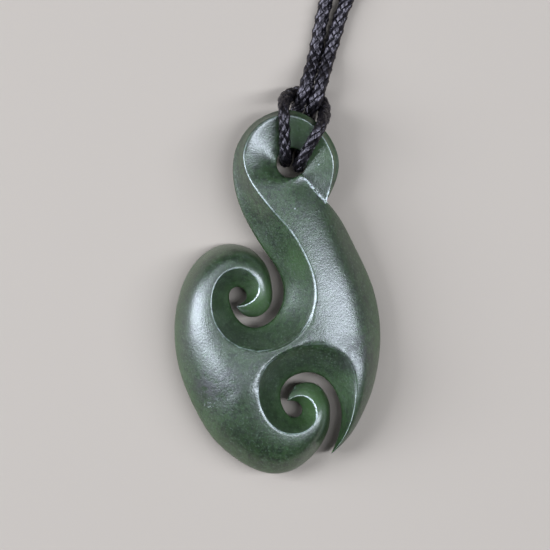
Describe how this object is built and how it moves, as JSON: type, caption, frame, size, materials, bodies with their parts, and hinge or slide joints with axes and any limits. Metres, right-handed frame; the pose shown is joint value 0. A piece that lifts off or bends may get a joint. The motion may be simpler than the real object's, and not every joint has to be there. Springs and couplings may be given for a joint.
{
  "type": "koru pendant on a neck cord",
  "caption": "Greenstone pendant carved as a twist with an upper and a lower spiral, hitched on a closed braided neck cord and laid flat.",
  "frame": {"origin": "on the pendant's flat back, in the middle of its width, below the saddle between its two spirals", "axes": "+Y from the pendant's foot to its hanging loop and on along the neck cord, +Z out of the carved face, the surface it lies on at z = 0"},
  "size_m": [0.1474, 0.2987, 0.0082],
  "materials": {
    "greenstone": "satin polish, slightly translucent dark green",
    "waxed_cord": "waxed black braid"
  },
  "bodies": {
    "root": {"pendant": "greenstone", "neck_cord": "waxed_cord", "closure_knot": "waxed_cord"}
  },
  "joints": []
}
